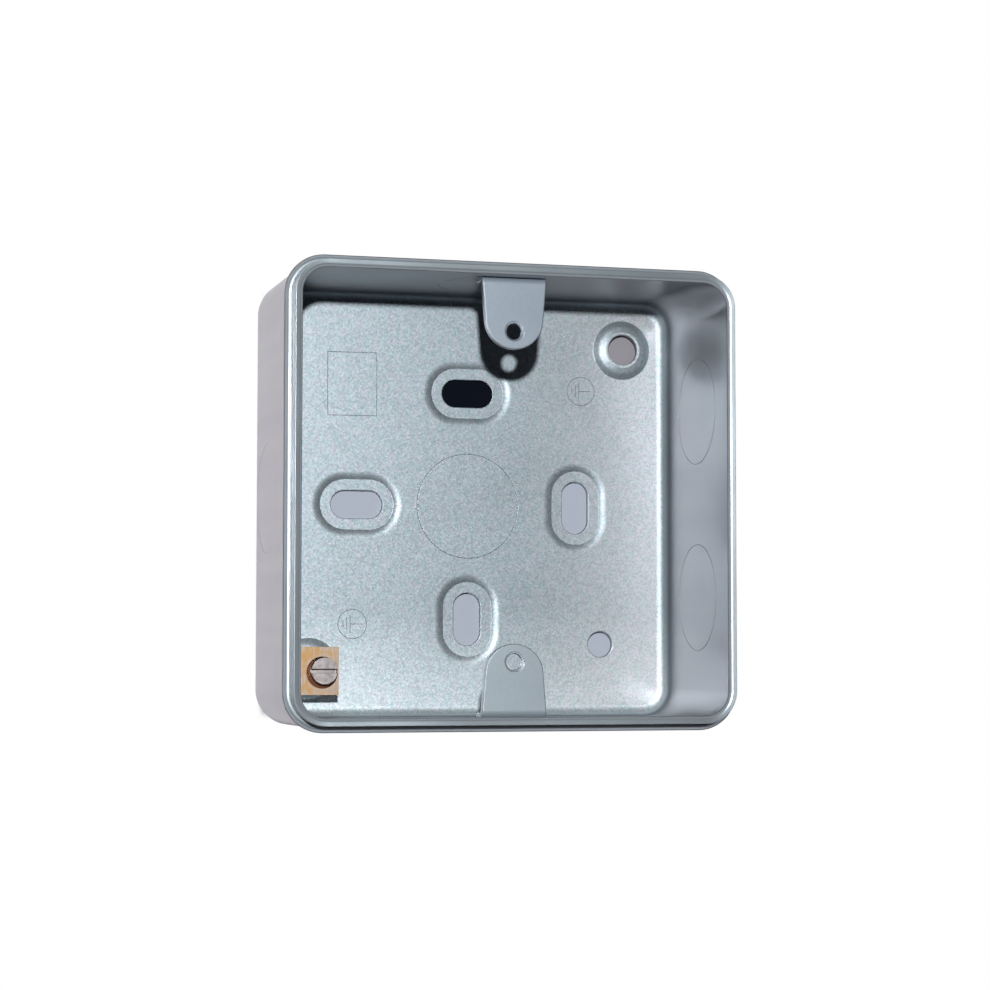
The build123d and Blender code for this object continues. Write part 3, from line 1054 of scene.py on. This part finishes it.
class BACKBOX_OT_knockouts(Operator):
    """Make the half-sheared discs that close the conduit openings"""
    bl_idname = "backbox.knockouts"
    bl_label = "Knockouts"

    def execute(self, context):
        settings = settings_of(context)
        back = settings.back
        enamel = enamel_material(settings)
        sheared_gap = 0.02 * MM
        radius = back.knockout / 2 - sheared_gap
        # The faces are flat out to here, so that the rounded edge shades only a narrow band
        flat_r = 0.97 * radius
        sheet = settings.shell.sheet
        section = [(0, 0)] + rounded_chain([(flat_r, 0), (radius, 0), (radius, sheet), (flat_r, sheet)],
                                           (SHEARED_EDGE, SHEARED_EDGE), 3) + [(0, sheet)]
        disc = turned("disc", section, enamel, steps=96)
        dimple_r = back.pry_dimple / 2
        ball = [(0, -dimple_r)] + arc((0, 0), dimple_r, range(-80, 81, 10)) + [(0, dimple_r)]
        dimple_inset = 0.1 * MM
        dimple_lift = 0.25 * MM
        place = Matrix.Translation((-radius + dimple_inset, 0, sheet + dimple_lift))
        carve(disc, [turned("dimple", ball, enamel, place, steps=32)])
        disc.data.shade_smooth()
        disc.data.set_sharp_from_angle(angle=radians(28))
        places = knockout_places(settings)
        turns = [p.to_euler() for p in places]
        seeds = seed_object("knockout_discs", [p.translation for p in places], turns=turns)
        grow(seeds, disc_tree(enamel), {"Disc": disc, "Push": back.knockout_push})
        bpy.data.objects.remove(disc)
        finish_piece(seeds, "painted_steel", "box_shell")
        self.make_burr(settings)
        return {"FINISHED"}

    def make_burr(self, settings):
        """Bright burr that the shears left beside the middle disc."""
        reach = 0.38 * MM
        rise = 0.24 * MM
        x = -10.5 * MM
        y = -0.34 * MM
        bead = [(0, -rise)]
        bead += [(r, z * rise / reach) for r, z in arc((0, 0), reach, range(-80, 81, 20))]
        bead += [(0, rise)]
        place = Matrix.Translation((x, y, floor_height(settings)))
        burr = turned("knockout_burr", bead, steel_material(settings), place, steps=24)
        finish_piece(burr, "painted_steel")


class BACKBOX_OT_lugs(Operator):
    """Make the two fixing lugs and the threads in their holes"""
    bl_idname = "backbox.lugs"
    bl_label = "Fixing Lugs"

    def execute(self, context):
        settings = settings_of(context)
        enamel = enamel_material(settings)
        for side, node in ((1, "fixing_lug_top"), (-1, "fixing_lug_bottom")):
            lug = self.make_lug(node + "_bracket", settings, side, enamel)
            finish_piece(lug, "painted_steel", node)
        self.make_threads(settings)
        return {"FINISHED"}

    def make_lug(self, name, settings, side, material):
        """Bracket bent from a strip: ear with a round nose, bend, and leg on the wall."""
        lug = settings.lug
        wall = settings.shell.wall_side / 2 - settings.shell.sheet
        top = LUG_HIGH[2]
        low = LUG_LOW[2]
        nose_y = lug.screw_spacing / 2 - lug.tip + lug.nose
        inner = wall - lug.thickness
        strip_end = nose_y - lug.nose - OVERSHOOT
        hole_y = side * lug.screw_spacing / 2
        strip = rounded_chain([(strip_end, top), (wall, top), (wall, low)], (lug.bend + lug.thickness,), 8)
        bent_in = [(strip_end, top - lug.thickness), (inner, top - lug.thickness), (inner, low)]
        underside = rounded_chain(bent_in, (lug.bend,), 8)
        strip += list(reversed(underside))
        # The section's own X and Y become the lug's Y and Z
        upright = Matrix(((0, 0, 1, 0), (side, 0, 0, 0), (0, 1, 0, 0), (0, 0, 0, 1)))
        piece = prism(name, strip, -lug.width, lug.width, material, upright)
        half = lug.width / 2
        outline = [(-half, wall + OVERSHOOT), (half, wall + OVERSHOOT), (half, wall)]
        outline += arc((0, nose_y), lug.nose, range(0, -181, -5))
        outline += [(-half, wall)]
        plan = [(x, side * y) for x, y in outline]
        carve(piece, [prism("plan", plan, low - OVERSHOOT, top + OVERSHOOT, material)], "INTERSECT")
        hole = arc((0, hole_y), lug.thread_major / 2, range(0, 360, 6))
        carve(piece, [prism("bore", hole, low - OVERSHOOT, top + OVERSHOOT, material)])
        round_edges(piece, 0.24 * MM)
        return piece

    def make_threads(self, settings):
        """Thread ridges in both holes, wound by one rule."""
        lug = settings.lug
        inset = 0.15 * MM
        turns = (lug.thickness - 2 * inset) / lug.thread_pitch
        low = LUG_HIGH[2] - lug.thickness + inset
        seeds = seed_object("lug_threads", [(0, side * lug.screw_spacing / 2, low) for side in (1, -1)])
        ridge = (lug.thread_major - lug.thread_minor) / 2
        grow(seeds, thread_tree(enamel_material(settings)), {
            "Radius": lug.thread_major / 2, "Ridge": ridge, "Turns": turns,
            "Height": turns * lug.thread_pitch})
        finish_piece(seeds, "painted_steel")


class BACKBOX_OT_terminal(Operator):
    """Make the brass earth terminal and its clamping screw"""
    bl_idname = "backbox.terminal"
    bl_label = "Earth Terminal"

    def execute(self, context):
        settings = settings_of(context)
        brass = brass_material(settings)
        nickel = nickel_material(settings)
        low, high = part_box("earth_terminal_block")
        screw_low, screw_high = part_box("earth_terminal_screw")
        axis = Vector(((screw_low[0] + screw_high[0]) / 2, (screw_low[1] + screw_high[1]) / 2, 0))
        block = self.make_block(settings.terminal, low, high, axis, brass)
        finish_piece(block, "brass", "earth_terminal_block")
        screw = self.make_screw(settings.terminal, screw_low[2], screw_high[2], axis, nickel)
        finish_piece(screw, "plated_screw", "earth_terminal_screw")
        return {"FINISHED"}

    def make_block(self, terminal, low, high, axis, material):
        """Brass block with its wire hole, tapped hole and counterbore."""
        base = high[2] - terminal.block_height
        outline = [(low[0], low[1]), (high[0], low[1]), (high[0], high[1]), (low[0], high[1])]
        block = prism("earth_terminal_brass", outline, base, high[2], material)
        wire_z = base + terminal.wire_hole_height
        above = high[2] + OVERSHOOT
        # The drill starts well outside the block and passes right through it
        drill_start = 10 * MM
        drill_length = 30 * MM
        wire_r = terminal.wire_hole / 2
        drill = [(0, 0), (wire_r, 0), (wire_r, drill_length), (0, drill_length)]
        along_y = Matrix.Rotation(-pi / 2, 4, "X")
        along_y = Matrix.Translation((axis.x, low[1] - drill_start, wire_z)) @ along_y
        tap_r = terminal.screw_thread / 2
        tap = [(0, wire_z), (tap_r, wire_z), (tap_r, above), (0, above)]
        bore_r = terminal.screw_head / 2 + terminal.screw_play
        floor = high[2] - terminal.counterbore_depth
        bore = [(0, floor), (bore_r, floor), (bore_r, above), (0, above)]
        shift = Vector((*terminal.counterbore_shift, 0))
        carve(block, [turned("drill", drill, material, along_y),
                      turned("tap", tap, material, Matrix.Translation(axis)),
                      turned("bore", bore, material, Matrix.Translation(axis + shift))])
        round_edges(block, MACHINED_EDGE, 3)
        return block

    def make_screw(self, terminal, low, high, axis, material):
        """Slotted cheese-head screw."""
        head_height = 2.2 * MM
        seat = high - head_height
        head_r = terminal.screw_head / 2
        shank_r = terminal.screw_thread / 2
        section = [(0, low), (shank_r, low), (shank_r, seat), (head_r, seat), (head_r, high), (0, high)]
        screw = turned("earth_terminal_clamp", section, material, Matrix.Translation(axis), 72)
        wide = terminal.screw_slot_width / 2
        groove = [(-2 * head_r, -wide), (2 * head_r, -wide), (2 * head_r, wide), (-2 * head_r, wide)]
        carve(screw, [prism("groove", groove, high - terminal.screw_slot_depth, high + OVERSHOOT, material,
                            Matrix.Translation(axis))])
        round_edges(screw, MACHINED_EDGE, 3)
        return screw


class BACKBOX_OT_marks(Operator):
    """Make the stamped frame and the two earth signs on the back"""
    bl_idname = "backbox.marks"
    bl_label = "Stamped Marks"

    def execute(self, context):
        settings = settings_of(context)
        tree = stamp_tree(stamped_material(settings))
        frame_line = 0.17 * MM
        sign_line = 0.13 * MM
        # In millimetres from the middle of the back
        frame_corners = [(-27.94, 29.35), (-18.28, 29.36), (-18.25, 17.16), (-27.89, 17.10)]
        signs = self.earth_sign(23.04, 23.09) + self.earth_sign(-22.90, -22.99)
        self.stamp("stamped_frame", [frame_corners + frame_corners[:1]], settings, tree, frame_line)
        self.stamp("stamped_signs", signs, settings, tree, sign_line)
        return {"FINISHED"}

    def earth_sign(self, x, y):
        """Lines in millimetres of the general earth sign in its circle, its bars upright."""
        ring = arc((x, y), 2.8, range(0, 361, 8))
        stem = [(x - 0.3, y), (x + 2.0, y)]
        lines = [ring, stem]
        for at, half in ((-0.4, 1.8), (-1.1, 1.2), (-1.8, 0.6)):
            lines.append([(x + at, y - half), (x + at, y + half)])
        return lines

    def stamp(self, name, lines, settings, tree, width):
        """Low flat ridges along the lines, on the back's inner face."""
        flattening = 0.3
        level = floor_height(settings)
        points = []
        edges = []
        for line in lines:
            first = len(points)
            points += [(x * MM, y * MM, level) for x, y in line]
            edges += [(k, k + 1) for k in range(first, len(points) - 1)]
        piece = grow(seed_object(name, points, edges), tree, {"Width": width})
        for vertex in piece.data.vertices:
            vertex.co.z = level + (vertex.co.z - level) * flattening
        finish_piece(piece, "painted_steel")


class BACKBOX_PT_panel(Panel):
    """Lists the pieces of the back box and its sizes"""
    bl_idname = "BACKBOX_PT_panel"
    bl_label = "Back Box"
    bl_space_type = "VIEW_3D"
    bl_region_type = "UI"
    bl_category = "Back Box"

    def draw(self, context):
        layout = self.layout
        for operator in PIECES:
            layout.operator(operator.bl_idname)
        settings = settings_of(context)
        for group in (settings.shell, settings.back, settings.lug, settings.terminal, settings.colours,
                      settings.stage):
            box = layout.box()
            for key in group.bl_rna.properties.keys():
                if key not in ("rna_type", "name"):
                    box.prop(group, key)


PIECES = (BACKBOX_OT_stage, BACKBOX_OT_shell, BACKBOX_OT_knockouts, BACKBOX_OT_lugs, BACKBOX_OT_terminal,
          BACKBOX_OT_marks)
CLASSES = (ShellSizes, BackSizes, LugSizes, TerminalSizes, FinishColours, StageSettings, BackBoxSettings,
           *PIECES, BACKBOX_PT_panel)


def register():
    """Registers the classes and the settings."""
    for cls in CLASSES:
        bpy.utils.register_class(cls)
    bpy.types.Scene.back_box = PointerProperty(type=BackBoxSettings)


def unregister():
    """Takes the settings and the classes away."""
    del bpy.types.Scene.back_box
    for cls in reversed(CLASSES):
        bpy.utils.unregister_class(cls)


def main():
    """Builds every piece."""
    register()
    bpy.ops.backbox.stage()
    bpy.ops.backbox.shell()
    bpy.ops.backbox.knockouts()
    bpy.ops.backbox.lugs()
    bpy.ops.backbox.terminal()
    bpy.ops.backbox.marks()


if __name__ == "__main__":
    main()
